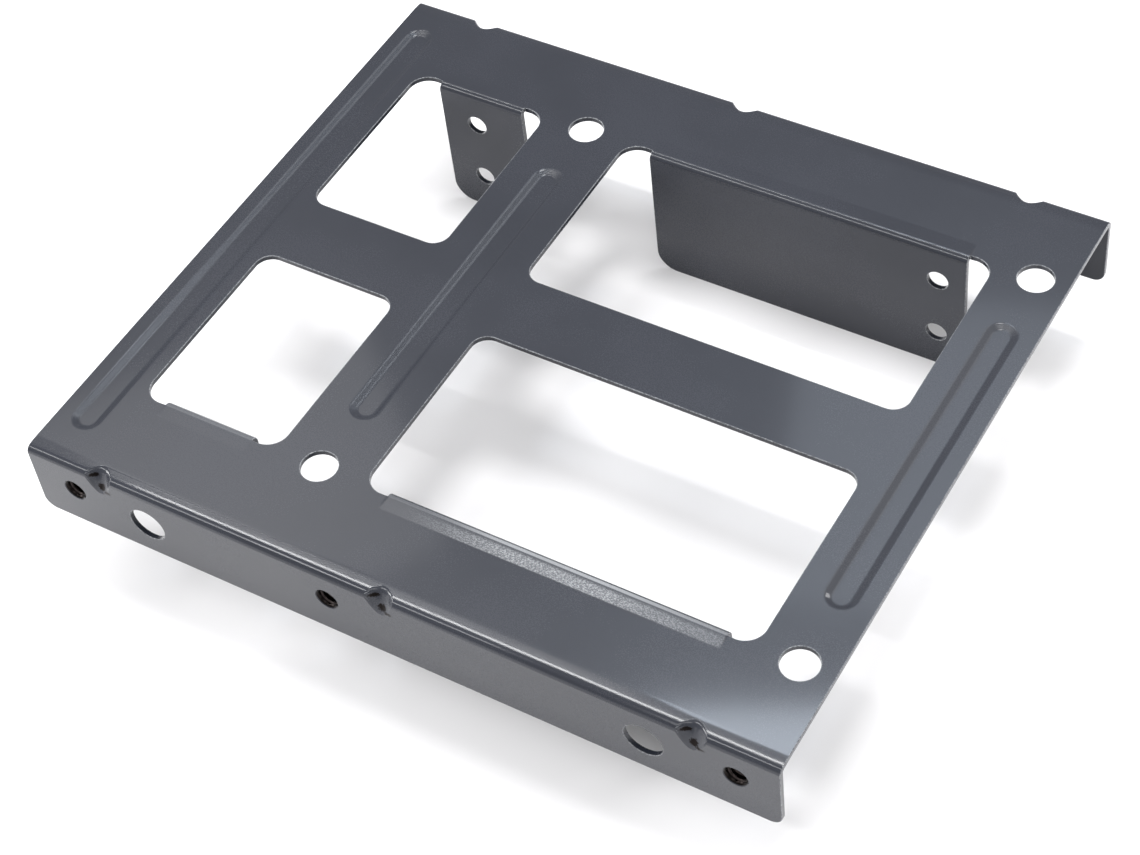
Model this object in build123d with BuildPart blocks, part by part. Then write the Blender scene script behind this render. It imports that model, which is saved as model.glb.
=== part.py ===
from build123d import *
from math import atan2, cos, degrees, hypot, radians, sin, tan
import os

# Drive bay adapter bracket: one blank of steel sheet, pierced, beaded, folded and tapped.
# It stands on the lower edges of its four inner tabs, with the plate on top.
# X runs along the outer flanges, Y runs across them, and Z is up. Sizes are in mm.

# Overall sizes
length = 114.8
width = 101.6
height = 23.2
sheet = 0.8

# Bends. A shallow shoulder eases the plate down before the tight bend of each outer flange.
bend_inside = 0.3
shoulder_radius = 18.0
shoulder_turn = 6.0

# Outer flanges, in the place of a large drive's sides
flange_depth = 12.3
flange_corner = 1.8

# Windows, from the left end of the plate to the right, on both sides of the middle bar
left_margin = 8.9
small_window = 22.65
cross_web = 13.85
right_margin = 10.85
middle_bar = 11.7
bar_corner = 2.5
relief_corner = 3.0

# Inner tabs, with the small drives between them. Each starts and stops short of its window's ends.
drive_gap = 69.9
tab_start = 4.15
tab_stop = 3.9
tab_corner = 3.3

# Clearance holes in the tabs, in two rows for two stacked drives, and the holes in the flanges
# that let a screwdriver reach the upper row, which sit a little lower than it
small_column = 19.1
small_pitch = 76.6
small_row = 6.0
small_row_pitch = 10.7
small_hole = 3.2
access_hole = 5.6
access_drop = 0.4

# Tapped holes in the flanges, each with a chamfered mouth and a collar drawn inwards
large_column = 7.0
large_middle = 41.6
large_span = 101.6
large_row = 5.5
thread_bore = 2.8
thread_mouth = 0.4
collar_wall = 0.75
collar_reach = 1.1
collar_root = 0.3

# Round holes through the plate, one column in the middle of the cross web and one near the right end
right_column = 4.9
plate_row = 35.8
plate_hole = 5.2

# Stiffening beads, pressed down into the plate: a long one at the left end and two short ones
# in line with the round holes
bead_width = 4.4
bead_depth = 0.5
bead_wall_run = 0.8
bead_round = 0.8
long_bead_column = 4.5
long_bead_margin = 6.1
short_bead = 52.8

# Gusset darts, pressed inwards across the outer bends. Each one's crease slants from the plate to
# the flange, and it is lost in the round of the bend at both its ends.
dart_pitch = 45.3
dart_half_width = 2.2
dart_on_plate = 1.7
dart_on_flange = 3.3
dart_end_crease = 0.05
dart_steps = 6

# Places that follow from the sizes above
sides = (-1, 1)
left = -length / 2
right = length / 2
underside = height - sheet
bend_outside = bend_inside + sheet
shoulder_run = (shoulder_radius - bend_outside) * sin(radians(shoulder_turn))
window_edge = drive_gap / 2 + bend_outside
small_window_end = left + left_margin + small_window
windows = (
    (left + left_margin, small_window_end),
    (small_window_end + cross_web, right - right_margin),
)
plate_columns = (small_window_end + cross_web / 2, right - right_column)
small_columns = (left + small_column, left + small_column + small_pitch)
small_rows = (height - small_row, height - small_row - small_row_pitch)
large_places = [(left + large_column + step, height - large_row) for step in (0, large_middle, large_span)]


def dart_solid(inset, corner):
    """Solid between a fold's square corner and the face of a dart, lofted along X.

    Seen along X the face is a slanting crease with the fold's own bend at both its ends. The inset
    moves it in from the outer faces, and the solid's two square sides meet at the corner.
    """
    slant = atan2(dart_on_flange, dart_on_plate)
    plate_turn = tan(slant / 2)
    flange_turn = tan((radians(90) - slant) / 2)
    crease = hypot(dart_on_plate, dart_on_flange)
    least = (bend_outside * (plate_turn + flange_turn) + dart_end_crease) / crease
    radius = bend_outside - inset
    sections = []
    for step in range(-dart_steps, dart_steps + 1):
        share = least + (1 - least) * cos(radians(90) * step / dart_steps)
        plate_corner = (dart_on_plate * share + inset * plate_turn, -inset)
        flange_corner = (inset, -dart_on_flange * share - inset * flange_turn)
        plate_end = (plate_corner[0] + radius, -inset)
        flange_end = (inset, flange_corner[1] - radius)
        with BuildSketch(Plane.YZ.offset(dart_half_width * step / dart_steps)) as section:
            with BuildLine():
                FilletPolyline(plate_end, plate_corner, flange_corner, flange_end, radius=radius)
                square = ((corner, flange_end[1]), (corner, -corner), (plate_end[0], -corner))
                Polyline(flange_end, *square, plate_end)
            make_face()
        sections.append(section.sketch)
    loft(sections)


# A dart's groove reaches out past the fold, and its rib has its square corner buried in the sheet
with BuildPart() as dart_groove:
    dart_solid(0, -sheet / 2)

with BuildPart() as dart_rib:
    dart_solid(sheet, sheet / 2)

with BuildPart() as bracket:
    # Plate and outer flanges, folded from one strip
    with BuildSketch(Plane.YZ):
        with BuildLine():
            flat = Line((0, height), (bend_outside + shoulder_run - width / 2, height))
            shoulder = JernArc(flat @ 1, flat % 1, shoulder_radius, shoulder_turn)
            bend = JernArc(shoulder @ 1, shoulder % 1, bend_outside, 90 - shoulder_turn)
            Line(bend @ 1, (-width / 2, height - flange_depth))
            mirror(about=Plane.YZ)
            offset(amount=sheet, side=Side.LEFT)
        make_face()
    extrude(amount=length / 2, both=True)
    fillet(edges().filter_by(Axis.Y).group_by(Axis.Z)[0], radius=flange_corner)

    # Windows, on both sides of the middle bar
    with BuildSketch(Plane.XY.offset(underside)):
        for low, high in windows:
            with Locations((low, middle_bar / 2)):
                Rectangle(high - low, window_edge - middle_bar / 2, align=(Align.MIN, Align.MIN))
        fillet(vertices().group_by(Axis.Y)[0], radius=bar_corner)
        fillet(vertices().group_by(Axis.Y)[-1], radius=relief_corner)
        mirror(about=Plane.XZ)
    extrude(amount=sheet, mode=Mode.SUBTRACT)

    # Inner tabs, folded down out of the windows. Each strip starts flat, inside the plate.
    for low, high in windows:
        with BuildSketch(Plane.YZ.offset(low + tab_start)):
            with BuildLine():
                path = ((window_edge + bend_outside, height), (drive_gap / 2, height), (drive_gap / 2, 0))
                FilletPolyline(*path, radius=bend_outside)
                offset(amount=sheet, side=Side.LEFT)
            make_face()
            mirror(about=Plane.YZ)
        extrude(amount=high - low - tab_start - tab_stop)
    fillet(edges().filter_by(Axis.Y).group_by(Axis.Z)[0], radius=tab_corner)

    # Beads. The plate keeps its thickness, so each bead stands out as far below as it is deep,
    # and its lower outline is wider by what the sheet takes up round the slope of its wall.
    bead_slope = atan2(bead_depth, bead_wall_run)
    bead_spread = 2 * sheet * tan(bead_slope / 2)
    beads = [(left + long_bead_column, width - 2 * long_bead_margin)]
    beads += [(column, short_bead) for column in plate_columns]
    for level, spread, mode in ((underside, bead_spread, Mode.ADD), (height, 0, Mode.SUBTRACT)):
        for column, bead_length in beads:
            with BuildSketch(Plane.XY.offset(level)):
                with Locations((column, 0)):
                    SlotOverall(bead_length + spread, bead_width + spread, rotation=90)
            extrude(amount=-bead_depth, taper=90 - degrees(bead_slope), mode=mode)
            fillet(edges(Select.LAST).filter_by(Plane.XY), radius=bead_round)

    # Round holes through the plate
    with BuildSketch(Plane.XY.offset(underside)):
        with Locations([(column, side * plate_row) for column in plate_columns for side in sides]):
            Circle(plate_hole / 2)
    extrude(amount=sheet, mode=Mode.SUBTRACT)

    # Clearance holes for the small drives' screws, through the tabs on both sides
    with BuildSketch(Plane.XZ):
        with Locations([(column, row) for column in small_columns for row in small_rows]):
            Circle(small_hole / 2)
    extrude(amount=drive_gap / 2 + sheet, both=True, mode=Mode.SUBTRACT)

    for side in sides:
        outer_face = Plane.XZ.offset(-side * width / 2)
        inner_face = Plane.XZ.offset(-side * (width / 2 - sheet))

        # Screwdriver holes through the flange, in line with the upper row in the tabs
        with BuildSketch(outer_face):
            with Locations([(column, small_rows[0] - access_drop) for column in small_columns]):
                Circle(access_hole / 2)
        extrude(amount=side * sheet, mode=Mode.SUBTRACT)

        # Collars on the inner face of the flange, thicker where they rise from it
        with BuildSketch(inner_face):
            with Locations(large_places):
                Circle(thread_bore / 2 + collar_wall)
        extrude(amount=side * collar_reach)
        circles = edges(Select.LAST).filter_by(GeomType.CIRCLE).sort_by(Axis.Y, reverse=side < 0)
        chamfer(circles[-len(large_places):], length=collar_root)

        # Bores through the flange and the collars, chamfered at their outer mouths
        with BuildSketch(outer_face):
            with Locations(large_places):
                Circle(thread_bore / 2)
        extrude(amount=side * (sheet + collar_reach), mode=Mode.SUBTRACT)
        circles = edges(Select.LAST).filter_by(GeomType.CIRCLE).sort_by(Axis.Y, reverse=side < 0)
        chamfer(circles[-len(large_places):], length=thread_mouth)

    # Gusset darts: first the ribs inside the folds, then the grooves outside
    for tool, mode in ((dart_rib, Mode.ADD), (dart_groove, Mode.SUBTRACT)):
        for side, turn in ((-1, 0), (1, 180)):
            for column in (-dart_pitch, 0, dart_pitch):
                with Locations(Location((column, side * width / 2, height), (0, 0, turn))):
                    add(tool.part, mode=mode)

bracket.part.label = "bracket"
os.makedirs("parts", exist_ok=True)
export_step(bracket.part, "parts/bracket.step")
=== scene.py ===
import math

import bpy
from mathutils import Euler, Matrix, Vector


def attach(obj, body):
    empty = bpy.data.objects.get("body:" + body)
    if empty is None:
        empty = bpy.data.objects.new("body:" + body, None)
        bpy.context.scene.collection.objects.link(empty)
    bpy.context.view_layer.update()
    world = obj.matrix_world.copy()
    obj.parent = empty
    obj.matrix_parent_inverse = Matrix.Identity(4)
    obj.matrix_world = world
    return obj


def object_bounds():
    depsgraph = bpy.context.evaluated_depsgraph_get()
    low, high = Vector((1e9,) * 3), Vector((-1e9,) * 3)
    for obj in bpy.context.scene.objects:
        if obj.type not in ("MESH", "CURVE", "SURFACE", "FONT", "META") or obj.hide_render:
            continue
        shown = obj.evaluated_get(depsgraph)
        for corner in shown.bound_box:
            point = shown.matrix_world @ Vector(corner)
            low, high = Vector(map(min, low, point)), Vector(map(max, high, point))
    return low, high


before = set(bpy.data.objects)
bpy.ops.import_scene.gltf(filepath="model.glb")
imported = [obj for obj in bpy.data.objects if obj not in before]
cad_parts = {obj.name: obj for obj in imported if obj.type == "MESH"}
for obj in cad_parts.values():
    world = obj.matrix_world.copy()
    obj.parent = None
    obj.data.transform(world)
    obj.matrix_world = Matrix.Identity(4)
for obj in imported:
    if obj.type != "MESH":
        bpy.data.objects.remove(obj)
cad_low, cad_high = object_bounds()

# The bracket: one blank of 0.8 mm mild steel, pierced, beaded and folded in press tools, so it is all
# one piece. Every edge is a sheared one, which tumbling and paint leave very slightly round. The
# rounding keeps the lie of the faces beside it, so that flat ones stay flat and bends stay smooth.
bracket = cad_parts["bracket"]
edge_round, edge_steps = 0.00011, 2
sharp_angle = math.radians(50)
strip_tilt = math.radians(15)
flat_angle = math.radians(0.3)
joined_within = 1e-6

# The rounds of its folds: a shallow shoulder that eases the plate down, the outer bend, and the tabs'
# bend. Each has its middle (out from the middle of the plate, and up), its radius, and the places
# out from the middle of the plate where it starts and ends.
bend_radius = 0.0011
shoulder_radius, shoulder_turn = 0.018, math.radians(6)
tab_out = 0.03495
bend_out = cad_high.y - bend_radius
shoulder_out = bend_out - (shoulder_radius - bend_radius) * math.sin(shoulder_turn)
shoulder_end = shoulder_out + shoulder_radius * math.sin(shoulder_turn)
shoulder_up = cad_high.z - shoulder_radius
bend_up = shoulder_up + (shoulder_radius - bend_radius) * math.cos(shoulder_turn)
rounds = (
    (shoulder_out, shoulder_up, shoulder_radius, shoulder_out, shoulder_end),
    (bend_out, bend_up, bend_radius, shoulder_end, cad_high.y),
    (tab_out + bend_radius, cad_high.z - bend_radius, bend_radius, tab_out, tab_out + bend_radius),
)
radius_within, span_within, flat_within = 0.00002, 0.00001, 0.0001
level_within, slant_within = 0.00001, 0.03
facet_tilt = math.radians(22)
lie_name, strip_name = "face_lie", "sheared_edge"
shape_socket = (("Geometry", "NodeSocketGeometry"),)


def start_nodes(name, kind, inputs, outputs):
    """Start a node group with these (name, type) sockets, and return it with its two end nodes."""
    group = bpy.data.node_groups.new(name, kind)
    for sockets, way in ((inputs, "INPUT"), (outputs, "OUTPUT")):
        for label, sort in sockets:
            group.interface.new_socket(label, in_out=way, socket_type=sort)
    return group, group.nodes.new("NodeGroupInput"), group.nodes.new("NodeGroupOutput")


def add_node(tree, kind, sources=(), **settings):
    """Add a node with these settings, and give its inputs in turn a socket to follow or a value."""
    node = tree.nodes.new(kind)
    for setting, value in settings.items():
        setattr(node, setting, value)
    for socket, source in zip(node.inputs, sources):
        if isinstance(source, bpy.types.NodeSocket):
            tree.links.new(source, socket)
        elif source is not None:
            socket.default_value = source
    return node


def reckon(tree, operation, *values):
    """Put one to three values through one operation."""
    return add_node(tree, "ShaderNodeMath", values, operation=operation).outputs[0]


def work_out(tree, operation, *values):
    """Join any number of values by one operation, two at a time."""
    total = values[0]
    for value in values[1:]:
        total = reckon(tree, operation, total, value)
    return total


def combine(tree, x, y, z):
    """Put three values together as one vector."""
    return add_node(tree, "ShaderNodeCombineXYZ", (x, y, z)).outputs[0]


def separate(tree, vector):
    """Take a vector apart into its three values."""
    return add_node(tree, "ShaderNodeSeparateXYZ", (vector,)).outputs


def change(tree, operation, *vectors):
    """Make a new vector of one or two by one operation."""
    return add_node(tree, "ShaderNodeVectorMath", vectors, operation=operation).outputs["Vector"]


def measure(tree, operation, *vectors):
    """Make a value of one or two vectors by one operation, such as a length."""
    return add_node(tree, "ShaderNodeVectorMath", vectors, operation=operation).outputs["Value"]


# First each face notes its lie: worked out from the middle of the round on a fold, its own on a flat
# face of the plate, a flange or a tab, and smooth elsewhere.
note_lie, note_in, note_out = start_nodes(
    "note the lie of the faces", "GeometryNodeTree", shape_socket, shape_socket)
surface = add_node(note_lie, "GeometryNodeInputNormal")
lie, facet_lie = surface.outputs["Normal"], surface.outputs["True Normal"]
facet_x, facet_y, facet_z = separate(note_lie, facet_lie)
_, corner_y, corner_z = separate(note_lie, add_node(note_lie, "GeometryNodeInputPosition").outputs[0])
corner_side = reckon(note_lie, "SIGN", corner_y)
corner_out = reckon(note_lie, "ABSOLUTE", corner_y)
for middle_out, middle_up, radius, start_out, end_out in rounds:
    spoke = combine(
        note_lie, 0.0,
        work_out(note_lie, "SUBTRACT", corner_y, work_out(note_lie, "MULTIPLY", corner_side, middle_out)),
        work_out(note_lie, "SUBTRACT", corner_z, middle_up))
    round_lie = change(note_lie, "NORMALIZE", spoke)
    span_middle, span_half = (start_out + end_out) / 2, (end_out - start_out) / 2
    on_round = work_out(
        note_lie, "MULTIPLY",
        reckon(note_lie, "COMPARE", measure(note_lie, "LENGTH", spoke), radius, radius_within),
        reckon(note_lie, "COMPARE", corner_out, span_middle, span_half + span_within),
        reckon(note_lie, "COMPARE", facet_x, 0.0, slant_within),
        reckon(note_lie, "GREATER_THAN", measure(note_lie, "DOT_PRODUCT", facet_lie, round_lie),
               math.cos(facet_tilt)))
    lie = add_node(note_lie, "GeometryNodeSwitch", (on_round, lie, round_lie), input_type="VECTOR").outputs[0]
level, upright = (
    reckon(note_lie, "COMPARE", reckon(note_lie, "ABSOLUTE", part), 1.0, level_within)
    for part in (facet_z, facet_y)
)
on_flange, on_tab = (
    reckon(note_lie, "COMPARE", corner_out, place_out, flat_within) for place_out in (cad_high.y, tab_out)
)
on_side = work_out(note_lie, "MULTIPLY", upright, work_out(note_lie, "MAXIMUM", on_flange, on_tab))
flat = work_out(note_lie, "MAXIMUM", on_side, level)
lie = add_node(note_lie, "GeometryNodeSwitch", (flat, lie, facet_lie), input_type="VECTOR").outputs[0]
noted = add_node(note_lie, "GeometryNodeStoreNamedAttribute", (note_in.outputs[0], None, lie_name),
                 data_type="FLOAT_VECTOR", domain="CORNER")
note_lie.links.new(lie, noted.inputs["Value"])
note_lie.links.new(noted.outputs[0], note_out.inputs[0])

# After the rounding, each face takes its noted lie back. The narrow strips that the rounding made turn
# smoothly from one face's lie to the next, and they are marked for the paint.
keep_lie, keep_in, keep_out = start_nodes(
    "keep the lie of the faces", "GeometryNodeTree", shape_socket, shape_socket)
noted_lie = add_node(keep_lie, "GeometryNodeInputNamedAttribute", (lie_name,),
                     data_type="FLOAT_VECTOR").outputs[0]
at_corner, at_face = (
    add_node(keep_lie, "GeometryNodeFieldOnDomain", (noted_lie,), data_type="FLOAT_VECTOR",
             domain=domain).outputs[0]
    for domain in ("POINT", "FACE")
)
real_lie = add_node(keep_lie, "GeometryNodeInputNormal").outputs["True Normal"]
agreement = measure(keep_lie, "DOT_PRODUCT", real_lie, change(keep_lie, "NORMALIZE", at_face))
on_strip = add_node(keep_lie, "FunctionNodeCompare", (agreement, math.cos(strip_tilt)),
                    data_type="FLOAT", operation="LESS_THAN").outputs[0]
strip_face = add_node(keep_lie, "GeometryNodeFieldOnDomain", data_type="FLOAT", domain="FACE")
keep_lie.links.new(on_strip, strip_face.inputs[0])
new_lie = add_node(keep_lie, "GeometryNodeSwitch", (on_strip, noted_lie, at_corner), input_type="VECTOR")
marked = add_node(keep_lie, "GeometryNodeStoreNamedAttribute", (keep_in.outputs[0], None, strip_name),
                  data_type="FLOAT", domain="FACE")
keep_lie.links.new(strip_face.outputs[0], marked.inputs["Value"])
turned = add_node(keep_lie, "GeometryNodeSetMeshNormal", (marked.outputs[0],), mode="FREE", domain="CORNER")
keep_lie.links.new(new_lie.outputs[0], turned.inputs["Custom Normal"])
keep_lie.links.new(turned.outputs[0], keep_out.inputs[0])

weld = bracket.modifiers.new("joined corners", "WELD")
weld.merge_threshold = joined_within
bracket.modifiers.new("note the lie", "NODES").node_group = note_lie
flats = bracket.modifiers.new("flat faces made whole", "DECIMATE")
flats.decimate_type = "DISSOLVE"
flats.angle_limit = flat_angle
rounding = bracket.modifiers.new("rounded edges", "BEVEL")
rounding.width = edge_round
rounding.segments = edge_steps
rounding.limit_method = "ANGLE"
rounding.angle_limit = sharp_angle
rounding.use_clamp_overlap = False
rounding.miter_outer = "MITER_SHARP"
bracket.modifiers.new("keep the lie", "NODES").node_group = keep_lie

# The paint: one dipped coat of satin blue-grey, baked, uneven like fine orange peel and faintly cloudy.
# It is pooled along the beads, and lighter on the sheared edges, both thin there and with a painted
# highlight along them. The front tabs' folds, which stand proud, carry a painted highlight with speckles
# of rubbed paint. The bores of the tapped holes, where the tap cut it away, and the feet of the darts are
# painted shade, near black.
paint_colour = (0.0215, 0.0240, 0.0325, 1)
rubbed_and_sheen_colour = (0.29, 0.30, 0.315, 1)
painted_shade_colour = (0.012, 0.010, 0.0095, 1)
paint_dullness, paint_shine = 0.26, 0.26
skin_weight, skin_dullness = 0.34, 0.07

# Its unevenness: the scale and detail of each noise, its depth, and how far it swings tone and dullness
peel_scale, peel_detail, peel_depth = 1500.0, 1.0, 0.0000016
grit_scale, grit_detail, grit_depth = 6500.0, 2.0, 0.0000004
cloud_scale, cloud_detail = 45.0, 3.0
noise_span = (0.3, 0.7)
cloud_tone, grit_tone = (0.93, 1.07), (0.96, 1.04)
cloud_dullness, grit_dullness = (-0.025, 0.025), (-0.02, 0.02)


def ease(tree, value, start, end, low=0.0, high=1.0, way="SMOOTHSTEP"):
    """Follow a value smoothly from low at start to high at end."""
    follower = add_node(tree, "ShaderNodeMapRange", (value, start, end, low, high), interpolation_type=way)
    return follower.outputs[0]


def blend(tree, share, first, second):
    """Blend two colours, with this share of the second."""
    return add_node(tree, "ShaderNodeMixRGB", (share, first, second)).outputs[0]


def emboss(tree, height):
    """Turn a height in metres into a normal."""
    relief = add_node(tree, "ShaderNodeBump")
    relief.inputs["Strength"].default_value = 1.0
    relief.inputs["Distance"].default_value = 1.0
    tree.links.new(height, relief.inputs["Height"])
    return relief.outputs[0]


def start_material(name):
    """Start a material, and return it with its tree and its shader."""
    material = bpy.data.materials.new(name)
    material.use_nodes = True
    return material, material.node_tree, material.node_tree.nodes["Principled BSDF"]


film, film_in, film_out = start_nodes(
    "paint film", "ShaderNodeTree",
    (("Place", "NodeSocketVector"), ("Colour", "NodeSocketColor"), ("Dullness", "NodeSocketFloat")),
    (("Colour", "NodeSocketColor"), ("Roughness", "NodeSocketFloat"), ("Height", "NodeSocketFloat")),
)
peel, grit, cloud = (
    add_node(film, "ShaderNodeTexNoise", (film_in.outputs["Place"], None, scale, detail)).outputs["Fac"]
    for scale, detail in ((peel_scale, peel_detail), (grit_scale, grit_detail), (cloud_scale, cloud_detail))
)
tone = work_out(
    film, "MULTIPLY",
    ease(film, cloud, *noise_span, *cloud_tone), ease(film, grit, *noise_span, *grit_tone))
toned = add_node(film, "ShaderNodeVectorMath", (film_in.outputs["Colour"],), operation="SCALE")
film.links.new(tone, toned.inputs["Scale"])
film.links.new(toned.outputs["Vector"], film_out.inputs["Colour"])
dullness = work_out(
    film, "ADD", film_in.outputs["Dullness"],
    ease(film, cloud, *noise_span, *cloud_dullness), ease(film, grit, *noise_span, *grit_dullness))
film.links.new(dullness, film_out.inputs["Roughness"])
height = work_out(
    film, "ADD", work_out(film, "MULTIPLY", peel, peel_depth), work_out(film, "MULTIPLY", grit, grit_depth))
film.links.new(height, film_out.inputs["Height"])

paint, tree, shader = start_material("satin blue-grey paint")
shader.inputs["Specular IOR Level"].default_value = paint_shine
shader.inputs["Coat Roughness"].default_value = skin_dullness
where = add_node(tree, "ShaderNodeTexCoord").outputs["Object"]
along, across, up = separate(tree, where)
outward = reckon(tree, "ABSOLUTE", across)

# The tabs' folds stand proud by the rise, which grows from the band's outer line to its inner one. The
# front ones carry a painted highlight in the band and along the crest of the bend, strongest towards the
# middle, with speckles of rubbed paint. Each fade gives the places where its mask starts and is full, and
# the shares there if they aren't none and all.
tab_spans = ((-0.04435, -0.02975), (-0.00785, 0.04265))
span_before, span_inside = 0.0002, 0.0003
band_outer, band_inner, band_rise = 0.0383, 0.0361, 0.00013
plate_fade = (cad_high.z - 0.0009, cad_high.z - 0.0006)
fold_fade = (0.0346, 0.0352)
proud_fade = (-0.025, -0.010, 0.2, 1.0)
front_fade = (0.001, -0.001)
band_outer_fade, band_inner_fade = (0.03835, 0.0381), (0.0361, 0.0369)
crest_outer_fade, crest_inner_fade = (0.0362, 0.0360), (0.0355, 0.03565)
sheen_left_fade, sheen_right_fade = (-0.006, 0.014, 0.02, 1.0), (0.044, 0.022, 0.4, 1.0)
crest_sheen = (0.0, 1.0, 0.25, 0.8)
speckle_scale, speckle_detail, speckle_stretch = 6500.0, 2.0, (0.6, 1.0, 1.0)
band_speckle, edge_speckle = (0.40, 0.66, 0.22, 0.85), (0.35, 0.65, 0.15, 0.75)

in_spans = work_out(tree, "MAXIMUM", *(
    work_out(tree, "MULTIPLY", ease(tree, along, start - span_before, start + span_inside),
             ease(tree, along, end + span_before, end - span_inside))
    for start, end in tab_spans
))
on_top = ease(tree, up, *plate_fade)
climb = ease(tree, outward, band_outer, band_inner, way="LINEAR")
proud = work_out(tree, "MULTIPLY", climb, ease(tree, outward, *fold_fade), in_spans, on_top,
                 ease(tree, along, *proud_fade), band_rise)

stretched = change(tree, "MULTIPLY", where, speckle_stretch)
speckle = add_node(
    tree, "ShaderNodeTexNoise", (stretched, None, speckle_scale, speckle_detail)).outputs["Fac"]
in_front = ease(tree, across, *front_fade)
sheen_along = work_out(tree, "MULTIPLY", ease(tree, along, *sheen_left_fade), ease(tree, along, *sheen_right_fade))
in_band = work_out(tree, "MULTIPLY", ease(tree, outward, *band_outer_fade),
                   ease(tree, outward, *band_inner_fade), in_spans, in_front)
on_crest = work_out(tree, "MULTIPLY", ease(tree, outward, *crest_outer_fade),
                    ease(tree, outward, *crest_inner_fade), in_spans, on_top, in_front)
# Painted highlight on the front tabs' bands and crests, with speckles of rubbed paint
rub_and_sheen = work_out(tree, "MAXIMUM",
                  work_out(tree, "MULTIPLY", in_band, sheen_along, ease(tree, speckle, *band_speckle)),
                  work_out(tree, "MULTIPLY", on_crest, ease(tree, sheen_along, *crest_sheen)))
edge = add_node(tree, "ShaderNodeAttribute", attribute_name=strip_name).outputs["Fac"]
# The sheared edges are lighter: thin paint there, and a painted highlight along their rounds
thin_and_sheen_edge = work_out(tree, "MULTIPLY", edge, ease(tree, speckle, *edge_speckle))

# The bores of the tapped holes, where the threads were cut, painted near black as shade
hole_columns, hole_level = (-0.0504, -0.0088, 0.0512), 0.0177
bore_fade, flange_fade = (0.00175, 0.00165), (0.0480, 0.0485)

from_bores = (
    measure(tree, "LENGTH", combine(
        tree, work_out(tree, "SUBTRACT", along, column), 0.0, work_out(tree, "SUBTRACT", up, hole_level)))
    for column in hole_columns
)
in_bore = work_out(tree, "MULTIPLY", ease(tree, work_out(tree, "MINIMUM", *from_bores), *bore_fade),
                   ease(tree, outward, *flange_fade))

# Patches of painted shade at the feet of the darts: how far along from the dart's middle, how high, and
# their half widths and heights. Their rims are ragged, and the back ones are turned round with their darts.
dart_pitch = 0.0453
dart_shade_patches = (
    (0.0002, 0.0208, 0.00072, 0.00052),
    (0.0012, 0.0204, 0.00060, 0.00030),
    (-0.0011, 0.0223, 0.00070, 0.00030),
)
rim_fade, rim_ragged, dart_fade = (1.1, 0.7), (-0.25, 0.25), (0.0487, 0.0490)

facing_front = work_out(tree, "MULTIPLY", reckon(tree, "SIGN", across), -1.0)
from_dart = reckon(tree, "WRAP", along, dart_pitch / 2, -dart_pitch / 2)
by_dart = work_out(tree, "MULTIPLY", from_dart, facing_front)
from_dart_shades = (
    measure(tree, "LENGTH", combine(
        tree, work_out(tree, "DIVIDE", work_out(tree, "SUBTRACT", by_dart, patch_along), half_wide), 0.0,
        work_out(tree, "DIVIDE", work_out(tree, "SUBTRACT", up, patch_level), half_tall)))
    for patch_along, patch_level, half_wide, half_tall in dart_shade_patches
)
from_rim = work_out(tree, "ADD", work_out(tree, "MINIMUM", *from_dart_shades),
                    ease(tree, speckle, *noise_span, *rim_ragged))
in_dart_shade = work_out(tree, "MULTIPLY", ease(tree, from_rim, *rim_fade), ease(tree, outward, *dart_fade))
# Painted shade in the bores and at the darts' feet: near black, metallic and uncoated, so they reflect almost
# nothing
painted_shade = work_out(tree, "MAXIMUM", in_bore, in_dart_shade)

# The beads, by column and reach: paint has pooled along their walls, so they look gentler than they are.
bead_places = ((-0.0529, 0.0447), (-0.018925, 0.0264), (0.0525, 0.0264))
bead_side_fade, bead_outside, bead_inside = (0.0030, 0.0027), 0.0006, 0.0003
pooled_ease = 1.45

in_beads = work_out(tree, "MAXIMUM", *(
    work_out(tree, "MULTIPLY",
             ease(tree, reckon(tree, "ABSOLUTE", work_out(tree, "SUBTRACT", along, column)), *bead_side_fade),
             ease(tree, outward, bead_reach + bead_outside, bead_reach + bead_inside))
    for column, bead_reach in bead_places
))
lift = combine(tree, 0.0, 0.0, work_out(tree, "MULTIPLY", in_beads, on_top, pooled_ease))

# The base colour: the paint lightened by its painted highlights and thin, rubbed places, then darkened by
# painted shade
worn_and_sheen_colour = blend(tree, work_out(tree, "MAXIMUM", rub_and_sheen, thin_and_sheen_edge), paint_colour, rubbed_and_sheen_colour)
coated = add_node(tree, "ShaderNodeGroup", (where, worn_and_sheen_colour, paint_dullness), node_tree=film)
embossed = emboss(tree, work_out(tree, "ADD", proud, coated.outputs["Height"]))
tree.links.new(blend(tree, painted_shade, coated.outputs["Colour"], painted_shade_colour), shader.inputs["Base Color"])
tree.links.new(coated.outputs["Roughness"], shader.inputs["Roughness"])
tree.links.new(painted_shade, shader.inputs["Metallic"])
tree.links.new(ease(tree, painted_shade, 0.0, 1.0, skin_weight, 0.0), shader.inputs["Coat Weight"])
tree.links.new(change(tree, "NORMALIZE", change(tree, "ADD", embossed, lift)), shader.inputs["Normal"])
bracket.material_slots[0].material = paint

# The threads: a ridge of bare steel round the wall of each of the six tapped holes, cut by a tap at 32
# turns to the inch. It runs out at both ends, and it is dark, with the cutting oil still in it.
bore_radius, crest_radius, thread_pitch = 0.0014, 0.00118, 0.000794
thread_start, thread_end = 0.00030, 0.00178
steps_a_turn, run_out_turns = 40, 0.4
root_half, crest_half, root_sunk = 0.00026, 0.00006, 0.00012
oily_colour, oily_dullness, oily_metal = (0.030, 0.024, 0.023, 1), 0.36, 0.9


def put_in(name, data):
    """Put a new object into the scene, and return it."""
    thing = bpy.data.objects.new(name, data)
    bpy.context.scene.collection.objects.link(thing)
    return thing


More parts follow.
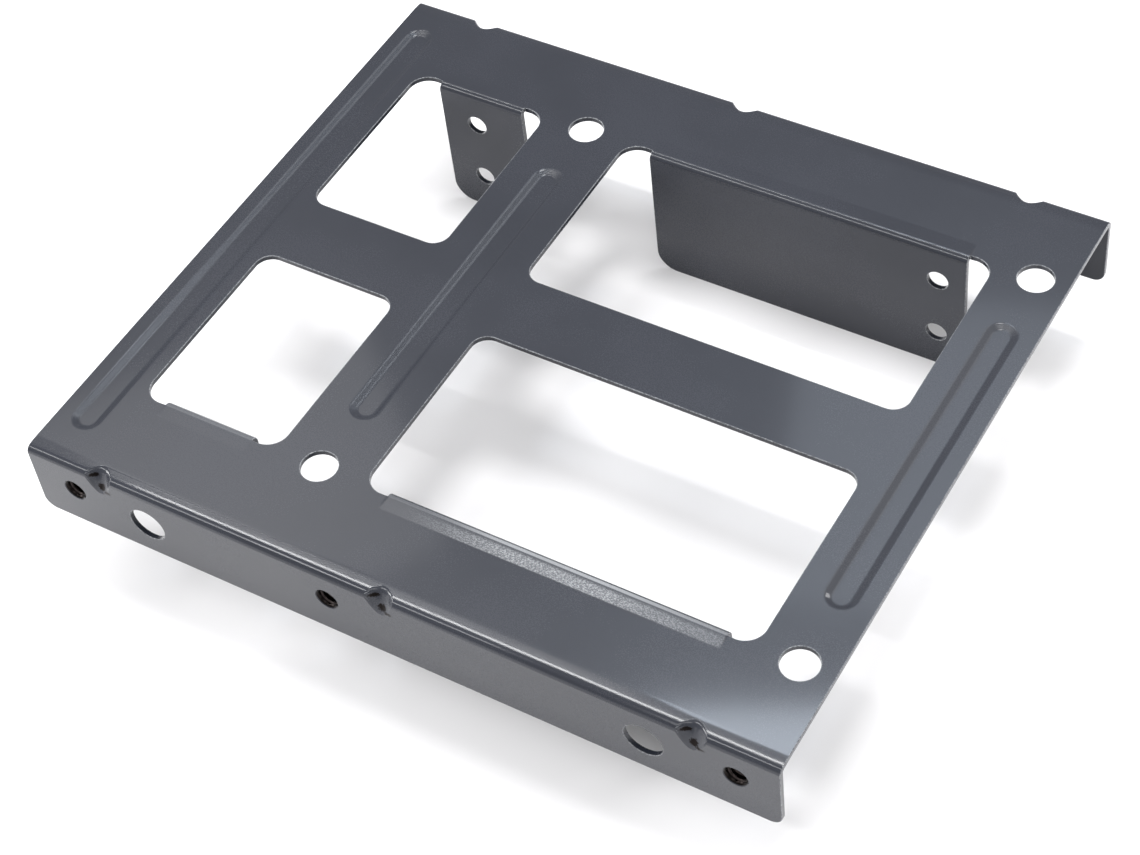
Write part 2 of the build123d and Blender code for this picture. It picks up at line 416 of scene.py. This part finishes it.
# Each step of the ridge adds a section of four points and joins it to the section before.
points, facets = [], []
root = bore_radius + root_sunk
turn_steps = round((thread_end - thread_start) / thread_pitch * steps_a_turn)
for side in (-1, 1):
    for column in hole_columns:
        ridge_start = len(points)
        for step in range(turn_steps + 1):
            turn = 2 * math.pi * step / steps_a_turn
            depth = thread_start + thread_pitch * step / steps_a_turn
            full = min(1.0, min(step, turn_steps - step) / (steps_a_turn * run_out_turns))
            top = bore_radius - (bore_radius - crest_radius) * full
            section = ((root, -root_half), (top, -crest_half), (top, crest_half), (root, root_half))
            for radius, shift in section:
                points.append((
                    column - side * radius * math.sin(turn),
                    side * (cad_high.y - depth - shift),
                    hole_level + radius * math.cos(turn),
                ))
            if step:
                row = ridge_start + 4 * step
                facets += [(row - 4 + k, row - 3 + k, row + 1 + k, row + k) for k in range(3)]
        facets += [tuple(ridge_start + k for k in range(4))]
        facets += [tuple(len(points) - 1 - k for k in range(4))]
thread_mesh = bpy.data.meshes.new("threads")
thread_mesh.from_pydata(points, [], facets)
for facet in thread_mesh.polygons:
    facet.use_smooth = True
threads = put_in("threads", thread_mesh)
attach(threads, "root")

cut, tree, shader = start_material("oily cut steel")
shader.inputs["Metallic"].default_value = oily_metal
where = add_node(tree, "ShaderNodeTexCoord").outputs["Object"]
oiled = add_node(tree, "ShaderNodeGroup", node_tree=film)
tree.links.new(where, oiled.inputs["Place"])
oiled.inputs["Colour"].default_value = oily_colour
oiled.inputs["Dullness"].default_value = oily_dullness
tree.links.new(oiled.outputs["Colour"], shader.inputs["Base Color"])
tree.links.new(oiled.outputs["Roughness"], shader.inputs["Roughness"])
tree.links.new(emboss(tree, oiled.outputs["Height"]), shader.inputs["Normal"])
thread_mesh.materials.append(cut)

# The table: a wide sheet of matt white card, lying level under the bracket, which stands on the lower
# edges of its four tabs.
floor_size = 4.0
card_colour = (0.865, 0.86, 0.87, 1)

floor_mesh = bpy.data.meshes.new("floor")
floor_mesh.from_pydata(
    [(x * floor_size / 2, y * floor_size / 2, cad_low.z) for x, y in ((-1, -1), (1, -1), (1, 1), (-1, 1))],
    [], [(0, 1, 2, 3)],
)
floor = put_in("floor", floor_mesh)
card, tree, shader = start_material("white card")
shader.inputs["Base Color"].default_value = card_colour
shader.inputs["Roughness"].default_value = 1.0
shader.inputs["Specular IOR Level"].default_value = 0.0
floor_mesh.materials.append(card)

# The studio: soft panels on stands round the table, turned to the bracket from 1.1 m, in a pale room.
# Two long strips that hang parallel to the folds, one behind them and one in front, draw the two bright
# lines along the front fold, and a wide, weak one beside the first fills in.
room_colour, room_glow = (1, 1, 1, 1), 0.60
panel_distance = 1.1
plain, cool = (1, 1, 1), (0.80, 0.89, 1.0)

world = bpy.data.worlds.new("room")
world.use_nodes = True
world.node_tree.nodes["Background"].inputs["Color"].default_value = room_colour
world.node_tree.nodes["Background"].inputs["Strength"].default_value = room_glow
bpy.context.scene.world = world


def hang_panel(name, bearing, rise, wide, tall, watts, tint=plain):
    """Hang a soft panel at a bearing from +X towards +Y and a rise above the table, both in degrees."""
    lamp = bpy.data.lights.new(name, "AREA")
    lamp.shape = "RECTANGLE"
    lamp.size, lamp.size_y = wide, tall
    lamp.energy = watts
    lamp.color = tint
    around, rise_angle = math.radians(bearing), math.radians(rise)
    level = math.cos(rise_angle)
    towards = Vector((math.cos(around) * level, math.sin(around) * level, math.sin(rise_angle)))
    panel = put_in(name, lamp)
    panel.location = towards * panel_distance
    panel.rotation_euler = (-towards).to_track_quat("-Z", "Y").to_euler()
    return panel


def hang_strip(name, rise, start, end, tall, watts):
    """Hang a long strip from start to end along X, at a rise in degrees from +Y up and over to -Y."""
    hang_panel(name, 90, rise, end - start, tall, watts).location.x = (start + end) / 2


hang_panel("overhead", 72, 80, 0.30, 0.30, 6.0)
hang_strip("fill_over_fold", 69.5, -0.74, -0.34, 0.11, 0.36)
hang_strip("strip_over_fold", 74.2, -0.70, -0.20, 0.024, 2.0)
hang_strip("strip_before_fold", 122, -0.85, -0.20, 0.10, 4.2)
hang_panel("strip_behind_right", 117, 61.3, 0.15, 0.07, 0.74, cool)
hang_panel("behind_left", 142.5, 50, 0.21, 0.15, 0.26)
hang_panel("behind_right", 107, 52, 0.22, 0.18, 0.44, cool)
hang_panel("right_behind", 79, 54, 0.36, 0.24, 0.85)
hang_panel("low_left", 200, 26, 0.34, 0.34, 6.3)
hang_panel("low_right_behind", 60, 24, 0.34, 0.34, 5.6)
hang_panel("front", 300, 44, 0.40, 0.40, 2.0)

# The camera: a long lens, a third of a metre off, over the front right corner and looking down at the
# plate's middle. It is turned a little out of level.
camera_place = Vector((0.13723, -0.19202, 0.27798))
camera_aim = Vector((0.00798, -0.01536, 0.0232))
camera_roll = math.radians(-7.96)
camera_lens, camera_sensor = 79.57, 36

camera = put_in("camera", bpy.data.cameras.new("camera"))
camera.data.lens = camera_lens
camera.data.sensor_width = camera_sensor
camera.location = camera_place
facing = (camera_aim - camera_place).to_track_quat("-Z", "Y").to_matrix()
camera.rotation_euler = (facing @ Euler((0, 0, camera_roll)).to_matrix()).to_euler()
bpy.context.scene.camera = camera
bpy.context.scene.view_settings.view_transform = "Standard"
